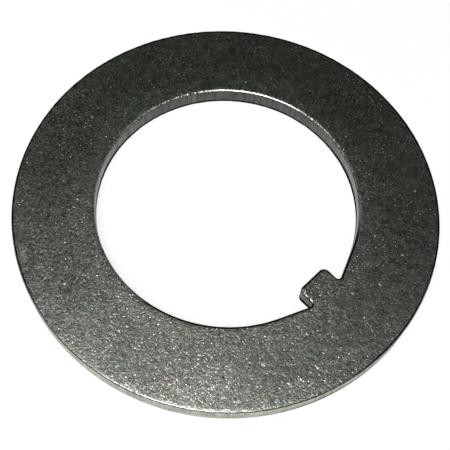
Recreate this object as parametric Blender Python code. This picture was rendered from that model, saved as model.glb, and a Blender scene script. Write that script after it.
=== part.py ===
# Bearing lock washer: a flat hardened steel ring with one square tab in its bore.
# The tab slides along the keyway of a threaded shaft, so the ring cannot turn with the nut
# that it locks. The ring lies on the XY plane with its bore axis on Z, and the tab points
# at the axis from the +X side. All sizes are in metres.

import math

import bmesh
import bpy

# Ring. Its width is the land between rim and bore that the nut bears on, and the bore is
# what that land leaves open.
OUTER_DIAMETER = 0.0825
RING_WIDTH = 0.01575
THICKNESS = 0.00385
BORE_DIAMETER = OUTER_DIAMETER - 2.0 * RING_WIDTH

# Edges, all round the rim and the bore. The press draws the upper edges down into a round
# roll-over as it cuts, and leaves the lower ones sharp until tumbling breaks them.
ROLLOVER_RADIUS = 0.0004
BROKEN_EDGE_RADIUS = 0.00025

# Tab, which stands in from the bore towards the axis
TAB_WIDTH = 0.0070
TAB_REACH = 0.0033
TAB_CORNER_RADIUS = 0.0012

# Beside the tab the bore runs straight, outside its circle, so that the shaft's thread clears
# the tab's roots. This is the angle at the axis from the tab's middle to where it starts.
RELIEF_SPREAD = math.radians(23.0)
ROOT_RADIUS = 0.0006

# The most that a flat facet may stand off the arc that it follows
CHORD_ERROR = 0.00001

# Merges the seams of the filled outline, far below any real size
SEAM_DISTANCE = 0.000001
SHARP_ANGLE = math.radians(32.0)

STEEL_COLOUR = (0.105, 0.108, 0.098, 1.0)
STEEL_ROUGHNESS = 0.42
STEEL_METALLIC = 0.9


def clear_scene():
    for thing in list(bpy.data.objects):
        bpy.data.objects.remove(thing, do_unlink=True)


def arc(centre, radius, start, end):
    """Points on an arc from start to end, both angles in radians and both ends included."""
    facet = 2.0 * math.acos(1.0 - min(CHORD_ERROR / radius, 1.0))
    steps = max(2, math.ceil(abs(end - start) / facet))
    points = []
    for step in range(steps + 1):
        angle = start + (end - start) * step / steps
        x = centre[0] + radius * math.cos(angle)
        y = centre[1] + radius * math.sin(angle)
        points.append((x, y))
    return points


def rim_outline():
    """The outer circle as a closed loop, in four like quarters so that it spans its diameter."""
    points = []
    for quarter in range(4):
        start = quarter * math.pi / 2.0
        points += arc((0.0, 0.0), OUTER_DIAMETER / 2.0, start, start + math.pi / 2.0)[:-1]
    return points


def half_bore_outline():
    """The bore's edge above the X axis, from the middle of the tab's tip round to the far side."""
    bore_radius = BORE_DIAMETER / 2.0
    half_width = TAB_WIDTH / 2.0
    tip_x = bore_radius - TAB_REACH

    # Tip corner, between the tip and the flank
    corner_centre = (tip_x + TAB_CORNER_RADIUS, half_width - TAB_CORNER_RADIUS)
    corner = arc(corner_centre, TAB_CORNER_RADIUS, math.pi, math.pi / 2.0)

    # Root fillet, which touches the flank and the straight relief. The relief is the tangent
    # of the bore circle at RELIEF_SPREAD, so it lies bore_radius from the axis along that angle.
    root_y = half_width + ROOT_RADIUS
    root_reach = bore_radius - ROOT_RADIUS - root_y * math.sin(RELIEF_SPREAD)
    root_centre = (root_reach / math.cos(RELIEF_SPREAD), root_y)
    root = arc(root_centre, ROOT_RADIUS, -math.pi / 2.0, RELIEF_SPREAD)

    bore = arc((0.0, 0.0), bore_radius, RELIEF_SPREAD, math.pi)
    return corner + root + bore


def bore_outline():
    """The whole bore with its tab, as a closed loop that is symmetric about the X axis."""
    upper = half_bore_outline()
    # The last point lies on the axis itself, so the lower half leaves it out
    lower = [(x, -y) for x, y in reversed(upper[:-1])]
    return upper + lower


def edge_section():
    """The ring's edge in section, from its lower face up. X is the depth into the steel from
    the wall, and Y is the height above the lower face."""
    broken_centre = (BROKEN_EDGE_RADIUS, BROKEN_EDGE_RADIUS)
    broken = arc(broken_centre, BROKEN_EDGE_RADIUS, -math.pi / 2.0, -math.pi)
    rollover_centre = (ROLLOVER_RADIUS, THICKNESS - ROLLOVER_RADIUS)
    rollover = arc(rollover_centre, ROLLOVER_RADIUS, math.pi, math.pi / 2.0)
    return broken + rollover


def add_line(curve, points, closed):
    spline = curve.splines.new("POLY")
    spline.points.add(len(points) - 1)
    for place, (x, y) in zip(spline.points, points):
        place.co = (x, y, 0.0, 1.0)
    spline.use_cyclic_u = closed


def make_edge_guide(collection):
    """The section that the outline's edge follows, kept as a guide and not as a part."""
    curve = bpy.data.curves.new("edge_section", "CURVE")
    curve.dimensions = "2D"
    add_line(curve, edge_section(), closed=False)
    guide = bpy.data.objects.new("edge_section", curve)
    guide.hide_render = True
    collection.objects.link(guide)
    return guide


def make_outline(collection, edge_guide):
    """The flat outline of rim and bore, filled on both faces and edged with the section."""
    curve = bpy.data.curves.new("ring_outline", "CURVE")
    curve.dimensions = "2D"
    curve.fill_mode = "BOTH"
    curve.bevel_mode = "OBJECT"
    curve.bevel_object = edge_guide
    add_line(curve, rim_outline(), closed=True)
    add_line(curve, bore_outline(), closed=True)
    outline = bpy.data.objects.new("ring_outline", curve)
    collection.objects.link(outline)
    return outline


def weld(mesh):
    """Joins the filled caps to the walls, and points every face outwards."""
    shape = bmesh.new()
    shape.from_mesh(mesh)
    bmesh.ops.remove_doubles(shape, verts=shape.verts, dist=SEAM_DISTANCE)
    bmesh.ops.recalc_face_normals(shape, faces=shape.faces)
    shape.to_mesh(mesh)
    shape.free()


def solid_from_curve(curve_object, name):
    """Turns a curve into a closed mesh object in the same place, and removes the curve."""
    bpy.context.view_layer.update()
    evaluated = curve_object.evaluated_get(bpy.context.evaluated_depsgraph_get())
    mesh = bpy.data.meshes.new_from_object(evaluated)
    mesh.name = name
    weld(mesh)
    solid = bpy.data.objects.new(name, mesh)
    solid.matrix_world = curve_object.matrix_world
    bpy.data.objects.remove(curve_object, do_unlink=True)
    return solid


def dark_steel():
    """Hardened steel, darkened and oiled."""
    material = bpy.data.materials.new("dark_steel")
    material.use_nodes = True
    shader = material.node_tree.nodes["Principled BSDF"]
    shader.inputs["Base Color"].default_value = STEEL_COLOUR
    shader.inputs["Roughness"].default_value = STEEL_ROUGHNESS
    shader.inputs["Metallic"].default_value = STEEL_METALLIC
    return material


def make_washer(collection, edge_guide):
    outline = make_outline(collection, edge_guide)
    washer = solid_from_curve(outline, "lock_washer")
    collection.objects.link(washer)
    washer.data.shade_smooth()
    washer.data.set_sharp_from_angle(angle=SHARP_ANGLE)
    washer.data.materials.append(dark_steel())


def new_collection(name):
    collection = bpy.data.collections.new(name)
    bpy.context.scene.collection.children.link(collection)
    return collection


def main():
    clear_scene()
    guides = new_collection("guides")
    washer_parts = new_collection("bearing_lock_washer")
    make_washer(washer_parts, make_edge_guide(guides))


main()
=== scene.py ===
import math

import bmesh
import bpy
from mathutils import Matrix, Vector


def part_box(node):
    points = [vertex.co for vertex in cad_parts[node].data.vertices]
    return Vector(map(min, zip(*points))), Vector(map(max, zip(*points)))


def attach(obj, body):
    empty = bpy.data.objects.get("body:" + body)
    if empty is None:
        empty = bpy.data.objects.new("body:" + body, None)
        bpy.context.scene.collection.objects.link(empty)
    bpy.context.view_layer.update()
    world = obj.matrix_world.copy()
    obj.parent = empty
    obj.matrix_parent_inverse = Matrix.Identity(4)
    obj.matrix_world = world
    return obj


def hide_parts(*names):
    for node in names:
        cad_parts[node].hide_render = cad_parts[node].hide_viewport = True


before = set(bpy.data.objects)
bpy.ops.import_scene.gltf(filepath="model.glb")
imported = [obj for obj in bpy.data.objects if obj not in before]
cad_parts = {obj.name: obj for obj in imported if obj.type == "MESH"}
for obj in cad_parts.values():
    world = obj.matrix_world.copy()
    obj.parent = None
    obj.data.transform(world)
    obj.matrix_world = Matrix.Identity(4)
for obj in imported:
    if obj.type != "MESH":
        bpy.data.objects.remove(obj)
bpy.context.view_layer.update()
washerLow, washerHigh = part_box("lock_washer")
print("frame loaded:", [round(1000 * side, 2) for side in washerHigh - washerLow], "mm")


# A node socket that takes part in sums. An operator on plain numbers adds a Math node,
# and one with a vector on either side adds a Vector Math node.
class Wire:
    def __init__(self, net, socket):
        self.net = net
        self.socket = socket

    def sum(self, operation, *terms):
        kinds = [term.socket.type if isinstance(term, Wire) else type(term) for term in terms]
        vectors = any(kind in ("VECTOR", "RGBA", tuple) for kind in kinds)
        mathNode = "ShaderNodeVectorMath" if vectors else "ShaderNodeMath"
        return self.net.make(mathNode, {"operation": operation}, dict(enumerate(terms)))

    def __add__(self, other):
        return self.sum("ADD", self, other)

    def __radd__(self, other):
        return self.sum("ADD", other, self)

    def __sub__(self, other):
        return self.sum("SUBTRACT", self, other)

    def __rsub__(self, other):
        return self.sum("SUBTRACT", other, self)

    def __mul__(self, other):
        return self.sum("MULTIPLY", self, other)

    def __rmul__(self, other):
        return self.sum("MULTIPLY", other, self)

    def __truediv__(self, other):
        return self.sum("DIVIDE", self, other)

    def __gt__(self, other):
        return self.sum("GREATER_THAN", self, other)

    def __lt__(self, other):
        return self.sum("LESS_THAN", self, other)

    def least(self, other):
        return self.sum("MINIMUM", self, other)

    def most(self, other):
        return self.sum("MAXIMUM", self, other)

    def func(self, operation):
        return self.sum(operation, self)

    # Scales a vector by a number or by another wire's number
    def scaled(self, factor):
        return self.net.make("ShaderNodeVectorMath", {"operation": "SCALE"}, {0: self, "Scale": factor})

    def length(self):
        return self.net.make("ShaderNodeVectorMath", {"operation": "LENGTH"}, {0: self}, "Value")

    def dot(self, other):
        ends = {0: self, 1: other}
        return self.net.make("ShaderNodeVectorMath", {"operation": "DOT_PRODUCT"}, ends, "Value")

    # The three parts of a vector
    def parts(self):
        node = self.net.node("ShaderNodeSeparateXYZ", {}, {0: self})
        return [Wire(self.net, socket) for socket in node.outputs]

    # From one range of numbers to another, held inside it
    def ranged(self, fromMin, fromMax, toMin=0.0, toMax=1.0, smooth=False):
        settings = {"interpolation_type": "SMOOTHSTEP" if smooth else "LINEAR", "clamp": True}
        ends = {"Value": self, "From Min": fromMin, "From Max": fromMax, "To Min": toMin, "To Max": toMax}
        return self.net.make("ShaderNodeMapRange", settings, ends, "Result")

    # 1 between the two middle numbers, fading to 0 at the outer two
    def band(self, low, lowFull, highFull, high):
        return self.ranged(low, lowFull, smooth=True) * self.ranged(highFull, high, 1.0, 0.0, smooth=True)

    # Another output of the node that this wire comes from
    def also(self, name):
        return Wire(self.net, self.socket.node.outputs[name])


# A node tree that is written as Python: one method adds a node, sets it up and links it
class Net:
    def __init__(self, tree):
        self.tree = tree

    def node(self, kind, settings, sockets):
        node = self.tree.nodes.new(kind)
        for name, value in settings.items():
            if name == "capture":
                node.capture_items.new(*value)
            else:
                setattr(node, name, value)
        for name, value in sockets.items():
            self.feed(node.inputs[name], value)
        return node

    def feed(self, socket, value):
        if isinstance(value, Wire):
            self.tree.links.new(value.socket, socket)
        elif socket.type == "RGBA" and len(value) == 3:
            socket.default_value = (*value, 1.0)
        else:
            socket.default_value = value

    def make(self, kind, settings=None, sockets=None, output=0):
        node = self.node(kind, settings or {}, sockets or {})
        return Wire(self, node.outputs[output])

    def vector(self, x=0.0, y=0.0, z=0.0):
        return self.make("ShaderNodeCombineXYZ", {}, {0: x, 1: y, 2: z})

    def mix(self, factor, first, second, dataType="FLOAT"):
        node = self.node("ShaderNodeMix", {"data_type": dataType, "clamp_factor": True}, {})
        wanted = {"FLOAT": "VALUE", "RGBA": "RGBA"}[dataType]
        ends = [socket for socket in node.inputs if socket.type == wanted and socket.name in ("A", "B")]
        self.feed(node.inputs[0], factor)
        self.feed(ends[0], first)
        self.feed(ends[1], second)
        return Wire(self, next(socket for socket in node.outputs if socket.type == wanted))

    def noise(self, place, scale, detail=2.0, roughness=0.5, distortion=0.0):
        sockets = {"Vector": place, "Scale": scale, "Detail": detail}
        sockets.update({"Roughness": roughness, "Distortion": distortion})
        return self.make("ShaderNodeTexNoise", {"noise_dimensions": "3D"}, sockets)

    # A noise that a seed changes as a whole
    def seededNoise(self, place, scale, detail, seed):
        sockets = {"Vector": place, "Scale": scale, "Detail": detail, "W": seed}
        return self.make("ShaderNodeTexNoise", {"noise_dimensions": "4D"}, sockets)

    # A geometry whose points keep a field's value, and that value
    def captured(self, geometry, dataType, field):
        settings = {"domain": "POINT", "capture": (dataType, "kept")}
        node = self.node("GeometryNodeCaptureAttribute", settings, {0: geometry, 1: field})
        return Wire(self, node.outputs[0]), Wire(self, node.outputs[1])


# The washer, in metres and radians. Every entry is an input of its Geometry Nodes tree.
washerSizes = {
    "Outer Diameter": washerHigh.x - washerLow.x,
    "Thickness": washerHigh.z - washerLow.z,
    "Bore Diameter": 0.0510,
    "Rollover": 0.0004,  # radius of the upper edges, drawn down by the press
    "Broken Edge": 0.00025,  # radius of the lower ones
    "Tab Width": 0.0070,
    "Tab Reach": 0.0033,
    "Tab Corner": 0.0012,
    "Root Radius": 0.0006,
    "Relief Spread": math.radians(23.0),  # from the tab's middle to where the bore runs straight
    "Steps Round": 1160,
    "Rollover Steps": 8,
    "Broken Edge Steps": 4,
    "Face Pitch": 0.0006,  # between the points across the upper face
    "Wall Pitch": 0.0003,
    "Face Wave": 0.000022,  # how far the press and the tumbling leave each surface off true
    "Edge Wear": 0.00006,
    "Wall Scoring": 0.000016,
    "Fracture": 0.000020,
    "Fracture Top": 0.45,  # up the wall, where the lower part that broke off rough ends
    "Fracture Full": 0.30,
    "Face Wave Scale": 70.0,  # each scale is a count in a metre
    "Edge Wear Scale": 1000.0,
    "Wall Scoring Scale": 1600.0,
    "Wall Scoring Scale Up": 60.0,
    "Fracture Scale": 900.0,
    "Bore Shift": 5.0,  # sets the scoring of the bore's wall apart from the rim's
    "Nick Place": (0.01522, -0.03792, 0.00380),  # a knock on the rim's upper edge
    "Nick Reach": 0.0006,
    "Nick Depth": 0.00016,
    "Seed": 7.0,
}


# Makes a tree input for each size and returns their wires by name
def sizeInputs(net, sizes):
    kinds = {int: "NodeSocketInt", float: "NodeSocketFloat", tuple: "NodeSocketVector"}
    for name, value in sizes.items():
        net.tree.interface.new_socket(name, in_out="INPUT", socket_type=kinds[type(value)])
    group = net.tree.nodes.new("NodeGroupInput")
    return {name: Wire(net, group.outputs[name]) for name in sizes}


# The bore's outline as a walk from the middle of the tab's tip to the far side. Each leg is
# its length and how far it turns left, or None where it runs straight.
def boreLegs(size):
    boreRadius = size["Bore Diameter"] * 0.5
    halfWidth = size["Tab Width"] * 0.5
    corner, root, spread = size["Tab Corner"], size["Root Radius"], size["Relief Spread"]
    quarter = math.pi / 2.0
    tipX = boreRadius - size["Tab Reach"]
    rootY = halfWidth + root
    rootX = (boreRadius - root - rootY * spread.func("SINE")) / spread.func("COSINE")
    legs = [
        (halfWidth - corner, None),  # half of the tip
        (corner * quarter, -quarter),  # tip corner
        (rootX - tipX - corner, None),  # flank
        (root * (spread + quarter), spread + quarter),  # root fillet
        (rootX * spread.func("SINE") - rootY * spread.func("COSINE"), None),  # relief
        (boreRadius * (math.pi - spread), math.pi - spread),  # the bore itself
    ]
    ends = [legs[0][0]]
    for length, turn in legs[1:]:
        ends.append(ends[-1] + length)
    return tipX, legs, ends


# Where the walk is after a length, and which way it heads
def walk(startX, legs, ends, walked):
    x, y, heading, begin = startX, 0.0, math.pi / 2.0, 0.0
    for (length, turn), end in zip(legs, ends):
        along = (walked - begin).most(0.0).least(length)
        if isinstance(heading, Wire):
            headingCos, headingSin = heading.func("COSINE"), heading.func("SINE")
        else:
            headingCos, headingSin = math.cos(heading), math.sin(heading)
        if turn is None:
            x = x + along * headingCos
            y = y + along * headingSin
        else:
            radius = length / turn
            turned = heading + along / radius
            x = x + radius * (turned.func("SINE") - headingSin)
            y = y + radius * (headingCos - turned.func("COSINE"))
            heading = turned
        begin = end
    return x, y, heading


# The ring's section as a closed curve: a rectangle with unlike corners above and below, and
# points along its straight sides. The rim is at -X and the bore at +X.
def sectionCurve(net, size, ringWidth):
    sides = {"Width": ringWidth, "Height": size["Thickness"]}
    box = net.make("GeometryNodeCurvePrimitiveQuadrilateral", {}, sides)
    upper = net.make("GeometryNodeInputPosition").parts()[1] > 0.0
    rounding = {
        "Curve": box,
        "Radius": net.mix(upper, size["Broken Edge"], size["Rollover"]),
        "Count": net.mix(upper, size["Broken Edge Steps"], size["Rollover Steps"]),
    }
    rounded = net.make("GeometryNodeFilletCurve", {"mode": "POLY"}, rounding)

    place = net.make("GeometryNodeInputPosition")
    following = net.make("GeometryNodeOffsetPointInCurve", {}, {"Offset": 1}, "Point Index")
    atNext = {"Index": following, "Value": place}
    ahead = net.make("GeometryNodeFieldAtIndex", {"data_type": "FLOAT_VECTOR"}, atNext)
    runX, runY = (ahead - place).parts()[:2]
    upper = place.parts()[1] > 0.0
    facePitch = size["Face Pitch"] * (2.0 - upper)  # the lower face has half as many points
    cuts = runX.func("ABSOLUTE") / facePitch + runY.func("ABSOLUTE") / size["Wall Pitch"]
    return net.make("GeometryNodeSubdivideCurve", {}, {"Curve": rounded, "Cuts": cuts.func("FLOOR")})


# The whole washer: a ring swept with the section, then drawn to its rim and its keyed bore
def washerTree(material):
    tree = bpy.data.node_groups.new("lockWasher", "GeometryNodeTree")
    net = Net(tree)
    size = sizeInputs(net, washerSizes)
    tree.interface.new_socket("Geometry", in_out="OUTPUT", socket_type="NodeSocketGeometry")
    rimRadius = size["Outer Diameter"] * 0.5
    ringWidth = rimRadius - size["Bore Diameter"] * 0.5

    circle = net.make("GeometryNodeCurvePrimitiveCircle", {}, {"Resolution": size["Steps Round"]})
    ring, step = net.captured(circle, "INT", net.make("GeometryNodeInputIndex"))
    section = sectionCurve(net, size, ringWidth)
    section, sectionPlace = net.captured(section, "VECTOR", net.make("GeometryNodeInputPosition"))
    mesh = net.make("GeometryNodeCurveToMesh", {}, {"Curve": ring, "Profile Curve": section})
    across, up = sectionPlace.parts()[:2]

    # Half of the steps run up one side of the tab's middle line, and half up the other
    startX, legs, ends = boreLegs(size)
    share = (step + 0.5) * 2.0 / size["Steps Round"] - 1.0
    side = share.func("SIGN")
    walked = share.func("ABSOLUTE") * ends[-1]
    boreX, boreY, heading = walk(startX, legs, ends, walked)
    inX, inY = heading.func("SINE"), -1.0 * heading.func("COSINE")  # into the steel

    # The rim's angle for each step. It lags beside the tab, so that the lines from the
    # tab's flanks to the rim stay inside the tab.
    deepest = size["Rollover"]
    tabAngle = (size["Tab Width"] * 0.5 - deepest) / rimRadius
    angle = walked.ranged(0.0, ends[2], 0.0, tabAngle)
    angle = angle + walked.ranged(ends[2], ends[4], 0.0, size["Relief Spread"] - tabAngle)
    angle = angle + walked.ranged(ends[4], ends[5], 0.0, math.pi - size["Relief Spread"])
    fromRim = across + ringWidth * 0.5
    fromBore = ringWidth * 0.5 - across
    rimReach = rimRadius - fromRim.least(deepest)
    boreReach = fromBore.least(deepest)
    crossing = fromRim.ranged(deepest, ringWidth - deepest)
    x = net.mix(crossing, rimReach * angle.func("COSINE"), boreX + inX * boreReach)
    y = net.mix(crossing, rimReach * angle.func("SINE"), boreY + inY * boreReach)
    z = up + size["Thickness"] * 0.5
    drawnPlace = {"Geometry": mesh, "Position": net.vector(x, y * side, z)}
    drawn = net.make("GeometryNodeSetPosition", {}, drawnPlace)

    # How far round an edge the steel has turned: 0 on the faces, 1 on the walls
    inset = fromRim.least(fromBore)
    edgeRadius = net.mix(up > 0.0, size["Broken Edge"], size["Rollover"])
    turn = ((1.0 - inset / edgeRadius).most(0.0)).func("ARCSINE") * (2.0 / math.pi)
    around = walked * side
    bore = fromBore < fromRim

    worn = wearDown(net, size, drawn, turn, around, bore, z)
    for name, value in {"turn": turn, "inset": inset, "around": around, "bore": bore}.items():
        settings = {"data_type": "FLOAT", "domain": "POINT"}
        stored = {"Geometry": worn, "Name": name, "Value": value}
        worn = net.make("GeometryNodeStoreNamedAttribute", settings, stored)
    smooth = net.make("GeometryNodeSetShadeSmooth", {}, {"Geometry": worn})
    real = net.make("GeometryNodeRealizeInstances", {}, {"Geometry": smooth})
    finished = net.make("GeometryNodeSetMaterial", {}, {"Geometry": real, "Material": material})
    net.node("NodeGroupOutput", {}, {0: finished})
    return tree


# Wear only takes steel away, so that the washer stays inside its true size
def wearDown(net, size, drawn, turn, around, bore, z):
    place = net.make("GeometryNodeInputPosition")
    normal = net.make("GeometryNodeInputNormal")
    seed = size["Seed"]
    onEdge = turn.band(0.02, 0.3, 0.75, 1.0)
    onWall = turn.ranged(0.9, 1.0, smooth=True)

    wave = net.seededNoise(place, size["Face Wave Scale"], 1.0, seed)
    loss = wave * size["Face Wave"]
    ragged = net.seededNoise(place, size["Edge Wear Scale"], 3.0, seed + 1.0).ranged(0.35, 0.75)
    loss = loss + ragged * onEdge * size["Edge Wear"]
    scoringUp = z * size["Wall Scoring Scale Up"]
    scoringPlace = net.vector(around * size["Wall Scoring Scale"], scoringUp, bore * size["Bore Shift"])
    scoring = net.seededNoise(scoringPlace, 1.0, 2.0, seed + 2.0)
    loss = loss + scoring * onWall * size["Wall Scoring"]
    torn = (z / size["Thickness"]).ranged(size["Fracture Top"], size["Fracture Full"], smooth=True) * onWall
    tear = net.seededNoise(place, size["Fracture Scale"], 3.0, seed + 3.0)
    loss = loss + tear * torn * size["Fracture"]
    nick = (place - size["Nick Place"]).length().ranged(size["Nick Reach"], 0.0, smooth=True)
    loss = loss + nick * size["Nick Depth"]
    moved = {"Geometry": drawn, "Offset": normal.scaled(-1.0 * loss)}
    return net.make("GeometryNodeSetPosition", {}, moved)


# Turns an evaluated object into a plain mesh object with its faces pointing outwards
def settled(builder, name):
    bpy.context.view_layer.update()
    evaluated = builder.evaluated_get(bpy.context.evaluated_depsgraph_get())
    mesh = bpy.data.meshes.new_from_object(evaluated)
    mesh.name = name
    shape = bmesh.new()
    shape.from_mesh(mesh)
    if shape.calc_volume(signed=True) < 0.0:
        bmesh.ops.reverse_faces(shape, faces=shape.faces)
    loose = sum(1 for edge in shape.edges if not edge.is_manifold)
    volume = round(shape.calc_volume() * 1e9)
    shape.to_mesh(mesh)
    shape.free()
    piece = bpy.data.objects.new(name, mesh)
    bpy.context.scene.collection.objects.link(piece)
    bpy.data.objects.remove(builder, do_unlink=True)
    triangles = sum(len(face.vertices) - 2 for face in mesh.polygons)
    print(name, "built:", triangles, "triangles,", loose, "open edges,", volume, "mm3")
    return piece


def makeWasher(material):
    mesh = bpy.data.meshes.new("washerBuilder")
    builder = bpy.data.objects.new("washerBuilder", mesh)
    bpy.context.scene.collection.objects.link(builder)
    maker = builder.modifiers.new("washer", "NODES")
    maker.node_group = washerTree(material)
    for item in maker.node_group.interface.items_tree:
        if item.in_out == "INPUT":
            maker[item.identifier] = washerSizes[item.name]
    return settled(builder, "washer")


# Dark oiled steel. Lengths are in metres, and scales are counts in a metre. A place round an
# edge runs from 0 at the face to 1 at the wall. A pair of numbers is where something begins
# and where it is full, and four are also where it fades and ends.
steelFinish = {
    # Colours
    "olive": (0.107, 0.123, 0.105),
    "brown": (0.129, 0.130, 0.114),
    "farTint": (0.97, 1.00, 0.91),  # of the two, away from the near side
    "nearTint": (1.02, 1.00, 1.01),
    "flake": (0.440, 0.440, 0.420),
    "bare": (0.60, 0.60, 0.585),  # where wear has cut through to bright steel; on the worn crests it is also a painted highlight
    "glint": (0.93, 0.93, 0.91),  # of the single light marks: bared steel in the scratches and the smear, a painted glint in the stars, specks and glints
    "oxideAndShade": (0.003, 0.003, 0.0045),  # of the dark scale, which is partly oxide and partly painted shade along the edges, of the painted shade at the walls' feet, and of the dark marks
    "rimWall": (0.388, 0.382, 0.337),
    # the crest's colour, lighter partly from wear and partly as a painted highlight
    "boreWall": (0.085, 0.083, 0.077),
    "crest": (0.340, 0.340, 0.330),
    "rimWallMetal": 0.2,
    # Roughness
    "faceRoughness": 0.36,
    "blotchDull": 0.15,  # how much duller the blotches are, and how much smoother the flakes
    "flakeShine": 0.12,
    "crestRoughness": 0.36,
    "wallRoughness": 0.38,
    "markRoughness": 0.25,
    "oxideRoughness": 0.70,
    # Faces
    "mottleScale": 420.0,
    "mottleRange": (0.35, 0.68),
    "mottle": 0.65,  # how far the mottles run from olive to brown
    "brownFar": 0.26,  # how brown the face is on the whole, and how much more so on the near side
    "brownNear": 0.33,
    "tingeScale": 520.0,
    "tinge": (0.22, 0.0, 0.34),  # how far red and blue stray
    "cloudScale": 95.0,
    "clouds": 0.5,
    "blotchScale": 900.0,
    "blotches": 0.7,
    "blotchHeight": 0.000040,
    "grainScale": 2700.0,
    "grain": 2.5,
    "coarseGrain": 1.4,  # more of it, on the coarse side
    "grainHeight": 0.000050,
    "flakeScale": 2500.0,
    "flakeRange": (0.57, 0.70),
    "flakeLevel": 0.8,  # doubled in the painted highlight patch
    "flakeLight": 2.7,
    "flakeCover": 0.5,
    "faceTone": 0.915,  # of the whole face, before what has been rubbed and the painted highlight patch
    "faceLeast": 0.25,
    "sheenPatchPlace": (0.0241, -0.0300, 0.0038),  # a painted highlight: a patch by the rim on the near side, painted lighter
    "sheenPatchReach": (0.011, 0.002),
    "sheenPatch": 0.2,
    "innerRub": 0.24,  # how much lighter the nut has rubbed the face beside the bore
    "innerRubLand": (0.45, 0.10),  # and where, from 0 at the bore to 1 at the rim
    "outerRub": 0.10,
    "outerRubLand": (0.60, 0.90),
    # Tumbling marks, whose sizes are in mark cells
    "markScale": 1150.0,
    "markShare": 0.52,  # of the cells
    "markShift": (37.0, -29.0),  # for a metre of height, so that each face gets its own marks
    "markWarpScale": 900.0,
    "markWarp": 0.0006,
    "markPatchScale": 130.0,
    "markPatches": (0.38, 0.66),
    "markLeast": 0.09,  # radius of the smallest, and how much larger the largest is
    "markMore": 0.23,
    "markRim": 0.6,
    "markFaint": 0.12,  # light of the faintest, and how much more the brightest has
    "markBright": 0.95,
    "markDepth": 0.000030,
    # Single marks
    "strokeScale": 2600.0,
    "strokeRagged": 1.2,
    "strokeCore": 0.2,  # of its width
    # Edges: the crest, lighter partly from wear and partly as a painted highlight
    "edgeFineScale": 1700.0,
    "edgeCoarseScale": 1100.0,
    "edgeRagged": 0.22,  # how raggedly all that follows an edge runs
    "crestStart": (0.02, 0.10),
    "crestEnd": (-0.04, 0.05),
    "crestInset": (0.00080, 0.00048),
    "crestWearAndHighlight": 0.82,
    "shineRange": (0.46, 0.62),
    "rimCrestReach": 0.16,
    "rimCrestMore": 0.16,  # how much farther it reaches where it's worn and painted bright
    "rimCrestRagged": 0.30,
    "rimCrestLeast": 0.18,  # how much of it there is where it isn't worn and painted bright
    "rimPatches": 1.6,
    "rimPatchRange": (0.10, 0.40),
    "boreCrestReach": 0.50,
    "boreCrestMore": 0.12,
    "boreCrestRagged": 0.34,
    "boreCrestLeast": 0.65,
    "beadScale": 1400.0,  # along the bore's edge
    "beadRange": (0.45, 0.55),
    "beadGap": 0.02,  # what is left of the wear and painted highlight between the beads
    "solidGap": 0.8,  # the same where they run together
    "beadShine": 0.85,
    "tabWearAndHighlightFrom": (0.0225, 0.0228),  # along the tab, where one flank's upper edge is worn bright and painted with a highlight
    "tabWearAndHighlightTo": (0.0260, 0.0256),
    "tabWearAndHighlight": 0.8,
    "flankReach": (0.0005, 0.0010, 0.0006),  # outside the flank, and inside it
    # Edges: the dark scale, partly oxide and partly painted shade
    "scaleShadeInset": (0.00056, 0.00044),
    "scaleShadeRagged": 0.0002,
    "scaleShadeFoot": (0.0004, 0.0006),  # down the wall from the upper face, where it ends
    "lowerScaleShade": (0.05, 0.30),
    "rimScaleShadeMore": 0.00022,  # how much wider it is on the far side of the rim
    "rimScaleShadeEnd": (0.28, 0.40),
    "rimLine": (0.31, 0.37, 0.54, 0.64),
    "rimLineDark": 0.9,
    "boreScaleShadeEnd": (0.62, 0.80),
    "boreLine": (0.50, 0.58, 0.66, 0.76),
    "boreLineDark": 0.45,
    "boreLineMore": 0.50,
    "tipBand": (0.22, 0.34, 0.62, 0.74),  # where the wall's streaks end under the crest
    "tipShine": 0.7,
    # Walls
    "flatEnd": 0.12,  # round the edge, where the face's marks end
    "upperWall": (0.50, 0.62),  # and where each wall begins
    "lowerWall": (0.90, 0.97),
    "wallLeast": 0.2,
    "tabShade": (0.0236, 0.0262),  # along the worn flank, where it darkens towards its root
    "flankShade": 0.50,
    "rootShade": 0.35,
    "streakScale": 3800.0,
    "streakScaleUp": 160.0,
    "streakHeight": 0.00003,
    "rimStreaks": 1.6,
    "boreStreaks": 3.6,
    "wallCloudScale": 380.0,
    "wallClouds": 0.8,
    # painted contact shade at the walls' feet: where the rim's wall darkens and how dark, then the same for
    # the bore
    "rimFootShade": (0.0010, 0.0015),
    "rimFootShadeTone": 0.08,
    "boreFootShade": (0.00160, 0.00115),
    "boreFootShadeDark": 0.97,
    "boreFootShadeLess": 0.0007,  # how much lower it is on the bore's far side
    "boreNearSheen": 1.9,  # how much lighter the bore's wall is painted away from there, a painted grazing reflection
    "boreShift": 5.0,  # sets the bore's streaks and beads apart from the rim's
}


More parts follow.
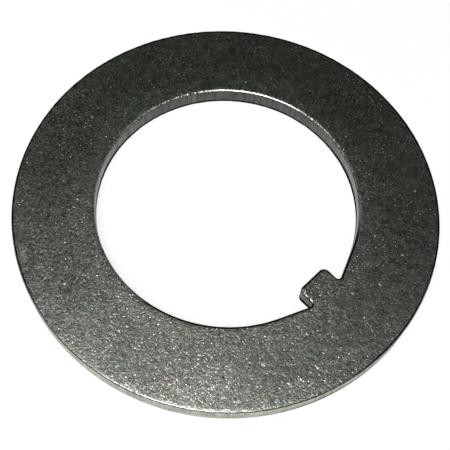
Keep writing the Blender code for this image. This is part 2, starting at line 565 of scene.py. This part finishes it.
# Where the finish changes round the ring. Each side is a direction from the axis, and the
# shares of a radius along it between which the change comes.
ringSides = {
    # The face is browner
    "near": {"towards": (0.654, -0.756, 0.0), "of": "Outer Diameter", "from": -0.70, "to": 0.70},
    # The face's grain is coarser
    "coarse": {"towards": (-0.750, -0.661, 0.0), "of": "Outer Diameter", "from": 0.40, "to": 0.85},
    # The rim's upper edge is worn bright and painted with a highlight
    "rimWearAndHighlight": {"towards": (0.557, -0.830, 0.0), "of": "Outer Diameter", "from": 0.885, "to": 0.995},
    # Its dark scale and painted shade are only a thin line
    "rimScaleShadeThin": {"towards": (0.557, -0.830, 0.0), "of": "Outer Diameter", "from": 0.58, "to": 0.86},
    # Its scale and painted shade stop above the wall
    "rimScaleShadeAboveWall": {"towards": (0.654, -0.756, 0.0), "of": "Outer Diameter", "from": 0.15, "to": 0.40},
    # Its scale and painted shade are wider
    "rimFarScaleShade": {"towards": (-0.50, 0.866, 0.0), "of": "Outer Diameter", "from": 0.0, "to": 0.85},
    # The rim's wall has painted shade at its foot
    "rimFootShade": {"towards": (0.934, 0.356, 0.0), "of": "Outer Diameter", "from": 0.50, "to": 0.80},
    # The bore's upper edge is worn into bright beads, partly a painted highlight
    "boreWearAndHighlight": {"towards": (-0.72, 0.70, 0.0), "of": "Bore Diameter", "from": 0.50, "to": 1.0},
    # It is worn and painted bright in one line instead
    "boreSolid": {"towards": (-0.542, 0.840, 0.0), "of": "Bore Diameter", "from": 0.885, "to": 0.965},
    # Its scale and painted shade cover the whole rounding
    "boreFullScaleShade": {"towards": (0.912, -0.409, 0.0), "of": "Bore Diameter", "from": 0.26, "to": 0.64},
    # The line of scale and painted shade under the beads is stronger
    "boreUnder": {"towards": (0.912, -0.409, 0.0), "of": "Bore Diameter", "from": -0.40, "to": 0.20},
    # The bore's wall is darker here, without the painted grazing reflection, and its painted foot shade lower
    "boreFar": {"towards": (-0.72, 0.70, 0.0), "of": "Bore Diameter", "from": 0.15, "to": 0.85},
}


def newMaterial(name):
    material = bpy.data.materials.new(name)
    material.use_nodes = True
    material.node_tree.nodes.clear()
    return material, Net(material.node_tree)


# How far a place lies on one side of the washer, from 0 to 1
def onSide(place, name):
    side = ringSides[name]
    share = place.dot(side["towards"]) / (washerSizes[side["of"]] * 0.5)
    return share.ranged(side["from"], side["to"], smooth=True)


# The faces: green-grey with brownish mottles, blotches, a fine grain and light flakes in it
def faceSkin(net, place):
    near = onSide(place, "near")
    mottle = net.noise(place, steelFinish["mottleScale"], roughness=0.6)
    mottle = mottle.ranged(*steelFinish["mottleRange"], smooth=True)
    brown = (mottle - 0.5) * steelFinish["mottle"] + steelFinish["brownFar"] + near * steelFinish["brownNear"]
    cloud = net.noise(place, steelFinish["cloudScale"])
    blotch = net.noise(place, steelFinish["blotchScale"])
    grain = net.noise(place, steelFinish["grainScale"], roughness=0.7)
    flake = net.noise(place, steelFinish["flakeScale"], roughness=0.65, distortion=0.4)
    # painted highlight: a lighter patch by the rim on the near side, with more flakes in it
    sheenPatch = (place - steelFinish["sheenPatchPlace"]).length().ranged(*steelFinish["sheenPatchReach"], smooth=True)
    flakes = flake.ranged(*steelFinish["flakeRange"]) * ((1.0 + sheenPatch) * steelFinish["flakeLevel"])
    coarseness = steelFinish["grain"] + onSide(place, "coarse") * steelFinish["coarseGrain"]
    tone = 1.0 + (cloud - 0.5) * steelFinish["clouds"] + (blotch - 0.5) * steelFinish["blotches"]
    tone = tone + (grain - 0.5) * coarseness + flakes * steelFinish["flakeLight"]

    boreRadius, rimRadius = washerSizes["Bore Diameter"] * 0.5, washerSizes["Outer Diameter"] * 0.5
    land = (place * (1.0, 1.0, 0.0)).length().ranged(boreRadius, rimRadius)
    rubbed = land.ranged(*steelFinish["innerRubLand"], smooth=True) * steelFinish["innerRub"]
    rubbed = rubbed + land.ranged(*steelFinish["outerRubLand"], smooth=True) * steelFinish["outerRub"]
    lightened = steelFinish["faceTone"] + rubbed + sheenPatch * steelFinish["sheenPatch"]
    tone = tone.most(steelFinish["faceLeast"]) * lightened
    colour = net.mix(brown, steelFinish["olive"], steelFinish["brown"], "RGBA").scaled(tone)
    colour = colour * net.mix(near, steelFinish["farTint"], steelFinish["nearTint"], "RGBA")
    tinge = net.noise(place, steelFinish["tingeScale"]).also("Color") - (0.5, 0.5, 0.5)
    colour = colour * (tinge * steelFinish["tinge"] + (1.0, 1.0, 1.0))
    colour = net.mix(flakes * steelFinish["flakeCover"], colour, steelFinish["flake"], "RGBA")
    roughness = steelFinish["faceRoughness"] + (blotch - 0.5) * steelFinish["blotchDull"]
    roughness = roughness - flakes * steelFinish["flakeShine"]
    height = blotch * steelFinish["blotchHeight"] + grain * steelFinish["grainHeight"]
    return colour, roughness, height


# Small tumbling marks that have cut through to bright steel, thick in some places and thin in others
def tumblingMarks(net, place):
    x, y, z = place.parts()
    shiftX, shiftY = steelFinish["markShift"]
    warp = net.noise(place, steelFinish["markWarpScale"]) * steelFinish["markWarp"]
    flat = net.vector(x + z * shiftX + warp, y + z * shiftY - warp)
    cells = {"Vector": flat, "Scale": steelFinish["markScale"]}
    mark = net.node("ShaderNodeTexVoronoi", {"voronoi_dimensions": "2D", "feature": "F1"}, cells)
    distance, chance = Wire(net, mark.outputs["Distance"]), Wire(net, mark.outputs["Color"])
    chosen, size, strength = chance.parts()
    patches = net.noise(place, steelFinish["markPatchScale"]).ranged(*steelFinish["markPatches"])
    shown = chosen < patches * (2.0 * steelFinish["markShare"])
    radius = steelFinish["markLeast"] + size * size * steelFinish["markMore"]
    inside = (1.0 - distance / radius).most(0.0) * shown
    light = steelFinish["markFaint"] + steelFinish["markBright"] * strength * strength
    bare = inside.ranged(0.0, steelFinish["markRim"], smooth=True) * light
    return bare, inside * steelFinish["markDepth"]


# Marks that can be told one by one on the upper face. Each is a short stroke: of bared steel in the scratches
# and the smear, a painted glint in the stars, specks and glints, and a dark mark where its light is below 0.
wearAndGlintStrokes = {
    "rimScratch": {"from": (0.01290, -0.03884), "to": (0.01500, -0.03805), "width": 0.00012, "light": 0.25},
    "rimGlint": {"from": (0.01535, -0.03770), "to": (0.01570, -0.03740), "width": 0.00020, "light": 0.5},
    "rimDirt": {"from": (0.01518, -0.03796), "to": (0.01530, -0.03780), "width": 0.00020, "light": -0.5},
    "star1": {"from": (0.03190, 0.00821), "to": (0.03212, 0.00826), "width": 0.00025, "light": 0.85},
    "star2": {"from": (0.02954, 0.00315), "to": (0.02966, 0.00328), "width": 0.00026, "light": 0.85},
    "starPit": {"from": (0.02940, 0.00277), "to": (0.02947, 0.00284), "width": 0.00020, "light": -0.9},
    "star3": {"from": (0.03010, -0.00386), "to": (0.03024, -0.00386), "width": 0.00024, "light": 0.8},
    "pit1": {"from": (0.02418, -0.02497), "to": (0.02434, -0.02491), "width": 0.00030, "light": -0.8},
    "pit2": {"from": (0.02218, -0.02915), "to": (0.02230, -0.02905), "width": 0.00026, "light": -0.7},
    "pit3": {"from": (0.02272, -0.02181), "to": (0.02284, -0.02185), "width": 0.00026, "light": -0.7},
    "speck1": {"from": (0.00985, -0.03178), "to": (0.01001, -0.03174), "width": 0.00022, "light": 0.6},
    "speck2": {"from": (0.02270, -0.02523), "to": (0.02282, -0.02527), "width": 0.00022, "light": 0.7},
    "smudge": {"from": (-0.00710, -0.03440), "to": (-0.00630, -0.03390), "width": 0.00090, "light": -0.45},
    "smear": {"from": (-0.01850, -0.03500), "to": (-0.01710, -0.03590), "width": 0.00080, "light": 0.12},
    "longScratch": {"from": (0.00380, -0.03520), "to": (0.00530, -0.03480), "width": 0.00012, "light": 0.2},
    "farSpeck": {"from": (-0.03222, -0.00660), "to": (-0.03208, -0.00658), "width": 0.00025, "light": 0.9},
    "glint1": {"from": (0.02735, -0.01843), "to": (0.02784, -0.01830), "width": 0.00020, "light": 0.8},
    "glint2": {"from": (0.03283, -0.01759), "to": (0.03374, -0.01748), "width": 0.00019, "light": 0.7},
    "glint3": {"from": (0.03400, -0.01548), "to": (0.03460, -0.01536), "width": 0.00020, "light": 0.9},
    "glint4": {"from": (0.03460, -0.01190), "to": (0.03478, -0.01185), "width": 0.00024, "light": 0.85},
    "glint5": {"from": (0.03350, -0.00910), "to": (0.03366, -0.00905), "width": 0.00022, "light": 0.75},
    "glint6": {"from": (0.02685, -0.00880), "to": (0.02720, -0.00868), "width": 0.00018, "light": 0.7},
    "glint7": {"from": (0.03572, -0.01520), "to": (0.03582, -0.01512), "width": 0.00020, "light": 0.6},
    "glint8": {"from": (0.02900, -0.00866), "to": (0.02914, -0.00860), "width": 0.00020, "light": 0.6},
    "leftGlint": {"from": (-0.00838, -0.03370), "to": (-0.00822, -0.03365), "width": 0.00028, "light": 0.6},
    "leftSpeck": {"from": (-0.02000, -0.02080), "to": (-0.01985, -0.02078), "width": 0.00024, "light": 0.8},
    "leftPit": {"from": (-0.02285, -0.02728), "to": (-0.02270, -0.02725), "width": 0.00036, "light": -0.6},
    "hair1": {"from": (0.02973, 0.00923), "to": (0.03092, 0.00852), "width": 0.00012, "light": -0.40},
    "hair2": {"from": (0.03199, 0.00916), "to": (0.03365, 0.01107), "width": 0.00011, "light": -0.30},
    "hair3": {"from": (0.02653, 0.00040), "to": (0.02837, 0.00234), "width": 0.00011, "light": -0.30},
}


def strokeMarks(net, place):
    light, dark = 0.0, 0.0
    level = place * (1.0, 1.0, 0.0)
    ragged = (net.noise(place, steelFinish["strokeScale"]) - 0.5) * steelFinish["strokeRagged"]
    for stroke in wearAndGlintStrokes.values():
        begin, finish = Vector((*stroke["from"], 0.0)), Vector((*stroke["to"], 0.0))
        run = finish - begin
        offset = level - tuple(begin)
        nearest = net.vector(*run).scaled((offset.dot(tuple(run)) / run.length_squared).ranged(0.0, 1.0))
        distance = (offset - nearest).length() / stroke["width"] + ragged
        amount = distance.ranged(1.0, steelFinish["strokeCore"], smooth=True) * abs(stroke["light"])
        if stroke["light"] > 0.0:
            light = amount.most(light)
        else:
            dark = amount.most(dark)
    return light, dark


# How far along the tab a place is, and whether it is on the tab's flank on the -Y side
def onFlank(place):
    x, y = place.parts()[:2]
    flankY = -0.5 * washerSizes["Tab Width"]
    outside, inmost, inside = steelFinish["flankReach"]
    return x, y.ranged(flankY - outside, flankY, smooth=True) * y.ranged(flankY + inmost, flankY + inside)


# The rounded edges: a bright crest next to the face, partly wear and partly a painted highlight, and dark
# scale with painted shade elsewhere
def edgeSkin(net, place, turn, inset, around, upper, bore):
    fine = net.noise(place, steelFinish["edgeFineScale"], detail=3.0, roughness=0.65)
    coarse = net.noise(place, steelFinish["edgeCoarseScale"])
    shifted = turn + (fine - 0.5) * steelFinish["edgeRagged"]
    rimWearAndHighlight = onSide(place, "rimWearAndHighlight")
    boreWearAndHighlight = onSide(place, "boreWearAndHighlight")
    along, flank = onFlank(place)
    tabWearAndHighlight = flank * along.ranged(*steelFinish["tabWearAndHighlightFrom"]) * along.ranged(*steelFinish["tabWearAndHighlightTo"])
    bright = net.mix(bore, rimWearAndHighlight, boreWearAndHighlight.most(tabWearAndHighlight * steelFinish["tabWearAndHighlight"]))

    # Along the rim the wear and painted highlight come in patches, and along the bore in beads or in one line
    beadPlace = net.vector(around * steelFinish["beadScale"], bore * steelFinish["boreShift"])
    beads = net.noise(beadPlace, 1.0, detail=1.0).ranged(*steelFinish["beadRange"], smooth=True)
    solid = onSide(place, "boreSolid")
    rimPatches = bright + (coarse - 0.5) * steelFinish["rimPatches"]
    rimPatches = rimPatches.ranged(*steelFinish["rimPatchRange"], smooth=True)
    betweenBeads = net.mix(solid, steelFinish["beadGap"], steelFinish["solidGap"])
    patches = net.mix(bore, rimPatches, net.mix(beads, betweenBeads, 1.0))

    # The crest, as far round the edge as it reaches
    rimReach = steelFinish["rimCrestReach"] + rimWearAndHighlight * steelFinish["rimCrestMore"]
    rimReach = rimReach + (coarse - 0.5) * steelFinish["rimCrestRagged"]
    boreReach = steelFinish["boreCrestReach"] + boreWearAndHighlight * steelFinish["boreCrestMore"]
    boreReach = boreReach + (beads - 0.5) * steelFinish["boreCrestRagged"]
    left = net.mix(bore, rimReach, boreReach) - shifted
    line = shifted.ranged(*steelFinish["crestStart"], smooth=True)
    line = line * left.ranged(*steelFinish["crestEnd"], smooth=True) * upper
    line = line * inset.ranged(*steelFinish["crestInset"], smooth=True)
    unworn = net.mix(bore, steelFinish["rimCrestLeast"], beads * steelFinish["boreCrestLeast"])
    crest = line * (unworn + bright * patches * steelFinish["crestWearAndHighlight"])
    shone = fine.ranged(*steelFinish["shineRange"], smooth=True)
    shone = shone.most(net.mix(solid, steelFinish["beadShine"], 1.0) * bore)
    # the worn line: partly bared steel, partly a painted highlight
    worn = line * bright * patches * shone

    # The rim's scale and painted shade: all over the rounding, above the wall only, or as a thin line
    wider = onSide(place, "rimFarScaleShade") * steelFinish["rimScaleShadeMore"] * (1.0 - bore)
    outline = inset - wider + (fine - 0.5) * steelFinish["scaleShadeRagged"]
    outline = outline.ranged(*steelFinish["scaleShadeInset"], smooth=True)
    aboveWall = shifted.ranged(*steelFinish["rimScaleShadeEnd"], 1.0, 0.0)
    rimDark = outline * net.mix(onSide(place, "rimScaleShadeAboveWall"), 1.0, aboveWall)
    rimLine = shifted.band(*steelFinish["rimLine"]) * steelFinish["rimLineDark"]
    rimDark = net.mix(onSide(place, "rimScaleShadeThin"), rimDark, rimLine)

    # The bore's scale and painted shade: all over the rounding, or between the beads and as a thin line under
    # them
    covered = onSide(place, "boreFullScaleShade") * (1.0 - tabWearAndHighlight)
    gaps = line * bright * (1.0 - beads) * (1.0 - solid)
    lineDark = steelFinish["boreLineDark"] + onSide(place, "boreUnder") * steelFinish["boreLineMore"]
    boreLine = shifted.band(*steelFinish["boreLine"]) * lineDark
    rounding = outline * shifted.ranged(*steelFinish["boreScaleShadeEnd"], 1.0, 0.0)
    boreDark = net.mix(covered, gaps.most(boreLine), rounding)

    # The upper edges' scale and painted shade end a little down the wall, and the lower edges have painted
    # contact shade all round
    below = washerSizes["Thickness"] - place.parts()[2]
    upperScaleShade = net.mix(bore, rimDark, boreDark) * below.ranged(*steelFinish["scaleShadeFoot"], 1.0, 0.0)
    lowerScaleShade = shifted.ranged(*steelFinish["lowerScaleShade"]) * turn.ranged(0.0, 0.03)
    scale = net.mix(upper, lowerScaleShade, upperScaleShade)

    # The streaks of the bore's wall end in bright tips under the crest, partly wear and partly a painted
    # highlight
    tips = shifted.band(*steelFinish["tipBand"]) * beads * (1.0 - covered) * upper * bore
    return crest, worn, tips * steelFinish["tipShine"], scale


# The sheared walls, streaked from face to face, with painted shade at their foot
def wallSkin(net, place, streak, bore):
    z = place.parts()[2]
    # painted shade at the walls' feet: the rim's on the sides seen at a slant, the bore's all round
    rimFootShade = z.ranged(*steelFinish["rimFootShade"], steelFinish["rimFootShadeTone"], 1.0)
    rimTone = net.mix(onSide(place, "rimFootShade"), 1.0, rimFootShade)
    far = onSide(place, "boreFar")
    boreFootShade = (z + far * steelFinish["boreFootShadeLess"]).ranged(*steelFinish["boreFootShade"], smooth=True)
    # painted grazing reflection: the bore's wall is painted lighter away from its far side
    boreTone = (1.0 - boreFootShade * steelFinish["boreFootShadeDark"]) * net.mix(far, steelFinish["boreNearSheen"], 1.0)
    along, flank = onFlank(place)
    atRoot = along.ranged(*steelFinish["tabShade"])
    boreTone = boreTone * (1.0 - flank * (steelFinish["flankShade"] + atRoot * steelFinish["rootShade"]))
    cloud = net.noise(place, steelFinish["wallCloudScale"], detail=3.0)
    streaks = net.mix(bore, steelFinish["rimStreaks"], steelFinish["boreStreaks"])
    tone = 1.0 + (streak - 0.5) * streaks + (cloud - 0.5) * steelFinish["wallClouds"]
    tone = tone.most(steelFinish["wallLeast"]) * net.mix(bore, rimTone, boreTone)
    colour = net.mix(bore, steelFinish["rimWall"], steelFinish["boreWall"], "RGBA").scaled(tone)
    return colour, streak * steelFinish["streakHeight"], boreFootShade * bore


def makeSteel():
    material, net = newMaterial("darkSteel")
    place = net.make("ShaderNodeTexCoord", {}, {}, "Object")
    names = ("turn", "inset", "around", "bore")
    stored = [net.make("ShaderNodeAttribute", {"attribute_name": name}, {}, "Fac") for name in names]
    turn, inset, around, bore = stored
    z = place.parts()[2]
    upper = z > washerSizes["Thickness"] * 0.5
    streakUp = z * steelFinish["streakScaleUp"]
    streakPlace = net.vector(around * steelFinish["streakScale"], streakUp, bore * steelFinish["boreShift"])
    streak = net.noise(streakPlace, 1.0, detail=3.0, roughness=0.65)

    faceColour, faceRoughness, faceHeight = faceSkin(net, place)
    marks, markDepth = tumblingMarks(net, place)
    light, dark = strokeMarks(net, place)
    crest, worn, tips, scale = edgeSkin(net, place, turn, inset, around, upper, bore)
    wallColour, wallHeight, footShade = wallSkin(net, place, streak, bore)

    flat = turn.ranged(0.0, steelFinish["flatEnd"], 1.0, 0.0)
    marks = marks * flat
    torn = turn + (streak - 0.5) * bore
    upperWall = torn.ranged(*steelFinish["upperWall"], smooth=True)
    wall = net.mix(upper, turn.ranged(*steelFinish["lowerWall"], smooth=True), upperWall)
    # dark scale and painted shade on the edges, and painted shade at the walls' feet
    scaled = (scale * net.mix(upper, 1.0 - wall, 1.0)).most(footShade * wall)

    colour = net.mix(marks, faceColour, steelFinish["bare"], "RGBA")
    # the single light marks: bared steel in the scratches, painted glints in the rest
    colour = net.mix(light * upper, colour, steelFinish["glint"], "RGBA")
    # the crest and its worn line: partly wear, partly a painted highlight
    colour = net.mix(crest, colour, steelFinish["crest"], "RGBA")
    colour = net.mix(worn, colour, steelFinish["bare"], "RGBA")
    colour = net.mix(wall, colour, wallColour, "RGBA")
    colour = net.mix(tips, colour, steelFinish["crest"], "RGBA")
    # near-black: oxide scale, painted shade and the dark marks
    colour = net.mix(scaled.most(dark * upper), colour, steelFinish["oxideAndShade"], "RGBA")

    roughness = net.mix(marks, faceRoughness, steelFinish["markRoughness"])
    roughness = net.mix(crest, roughness, steelFinish["crestRoughness"])
    roughness = net.mix(wall, roughness, steelFinish["wallRoughness"])
    roughness = net.mix(scaled, roughness, steelFinish["oxideRoughness"])

    # The rim's wall is dulled, and neither the scale nor the painted shade is metal
    dulled = wall * (1.0 - bore) * (1.0 - steelFinish["rimWallMetal"])
    metal = (1.0 - scaled) * (1.0 - dulled)

    height = net.mix(wall, faceHeight - markDepth * flat, wallHeight)
    shaderInputs = {
        "Base Color": colour,
        "Roughness": roughness,
        "Metallic": metal,
        "Specular IOR Level": 0.0,
        "Normal": net.make("ShaderNodeBump", {}, {"Height": height, "Distance": 1.0}),
    }
    shader = net.make("ShaderNodeBsdfPrincipled", {}, shaderInputs)
    net.node("ShaderNodeOutputMaterial", {}, {"Surface": shader})
    print("dark steel made:", len(net.tree.nodes), "nodes,", len(wearAndGlintStrokes), "single marks")
    return material


washer = makeWasher(makeSteel())
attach(washer, "root")
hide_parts("lock_washer")


# The camera stands where the photo's stood, found from the two circles and the tab
photoView = {
    "azimuth": math.radians(40.86),
    "elevation": math.radians(62.98),
    "distance": 0.16344,
    "aim": Vector((0.00219, -0.00261, 0.0)),
    "roll": math.radians(5.13),
    "lens": 66.23,
    "sensor": 36.0,
}
photoFront = Vector((math.sin(photoView["azimuth"]), -math.cos(photoView["azimuth"]), 0.0))
photoRight = Vector((math.cos(photoView["azimuth"]), math.sin(photoView["azimuth"]), 0.0))


# A place given as the photo shows it: to the right, towards the camera, and up
def seenPlace(right, front, up):
    return photoRight * right + photoFront * front + Vector((0.0, 0.0, up))


def makeCamera():
    lens = bpy.data.cameras.new("photoCamera")
    lens.lens = photoView["lens"]
    lens.sensor_width = photoView["sensor"]
    lens.clip_start = 0.01
    camera = bpy.data.objects.new("photoCamera", lens)
    level = photoView["distance"] * math.cos(photoView["elevation"])
    camera.location = seenPlace(0.0, level, photoView["distance"] * math.sin(photoView["elevation"]))
    look = (photoView["aim"] - camera.location).to_track_quat("-Z", "Y").to_matrix()
    camera.rotation_euler = (look @ Matrix.Rotation(photoView["roll"], 3, "Z")).to_euler()
    bpy.context.scene.collection.objects.link(camera)
    bpy.context.scene.camera = camera
    print("camera placed:", round(1000 * camera.location.length), "mm from the bore's axis")


makeCamera()


# Studio
studio = {
    "floorRadius": 12.0,
    "floorDrop": 0.00002,
    "floorColour": (0.86, 0.86, 0.86),
    "floorWhite": 0.82,  # how much of the floor's white doesn't depend on the lamps
    "ceiling": 0.028,
    "horizon": 0.9,
    "horizonTop": math.radians(14.0),  # the sky darkens from here up to where the ceiling starts
    "ceilingFoot": math.radians(24.0),
}

# Each lamp's place is seen from the washer: to the right, towards the camera, and up
lamps = {
    "overhead": {"place": (-0.06, 0.145, 0.55), "size": 0.40, "power": 3.2},
    "front": {"place": (-0.081, 0.237, 0.433), "size": 0.15, "power": 0.9},
}


def makeFloor():
    shape = bmesh.new()
    bmesh.ops.create_circle(shape, cap_ends=True, segments=96, radius=studio["floorRadius"])
    mesh = bpy.data.meshes.new("floor")
    shape.to_mesh(mesh)
    shape.free()
    floor = bpy.data.objects.new("floor", mesh)
    floor.location.z = -studio["floorDrop"]
    bpy.context.scene.collection.objects.link(floor)
    material, net = newMaterial("paleFloor")
    rays = net.node("ShaderNodeLightPath", {}, {})
    names = ("Is Camera Ray", "Is Glossy Ray", "Is Transmission Ray")
    camera, glossy, through = [Wire(net, rays.outputs[name]) for name in names]
    shown = camera.most(glossy).most(through) * studio["floorWhite"]
    lit = net.make("ShaderNodeBsdfDiffuse", {}, {"Color": studio["floorColour"]})
    white = net.make("ShaderNodeEmission", {}, {"Color": (1.0, 1.0, 1.0), "Strength": 1.0})
    mixed = net.make("ShaderNodeMixShader", {}, {0: shown, 1: lit, 2: white})
    net.node("ShaderNodeOutputMaterial", {}, {"Surface": mixed})
    mesh.materials.append(material)


def makeLamp(name, place, size, power):
    lamp = bpy.data.lights.new(name, "AREA")
    lamp.shape = "SQUARE"
    lamp.size = size
    lamp.energy = power
    softbox = bpy.data.objects.new(name, lamp)
    softbox.location = seenPlace(*place)
    softbox.rotation_euler = (-softbox.location).to_track_quat("-Z", "Y").to_euler()
    bpy.context.scene.collection.objects.link(softbox)


def makeWorld():
    world = bpy.data.worlds.new("studio")
    bpy.context.scene.world = world
    world.use_nodes = True
    world.node_tree.nodes.clear()
    net = Net(world.node_tree)
    height = net.make("ShaderNodeTexCoord", {}, {}, "Generated").parts()[2]
    level = height.ranged(math.sin(studio["horizonTop"]), math.sin(studio["ceilingFoot"]), smooth=True)
    strength = net.mix(level, studio["horizon"], studio["ceiling"])
    sky = net.make("ShaderNodeBackground", {}, {"Color": (1.0, 1.0, 1.0), "Strength": strength})
    net.node("ShaderNodeOutputWorld", {}, {"Surface": sky})


makeFloor()
for name, lamp in lamps.items():
    makeLamp(name, **lamp)
makeWorld()
print("studio lit:", ", ".join(lamps), "and the sky")

bpy.context.scene.view_settings.view_transform = "Standard"
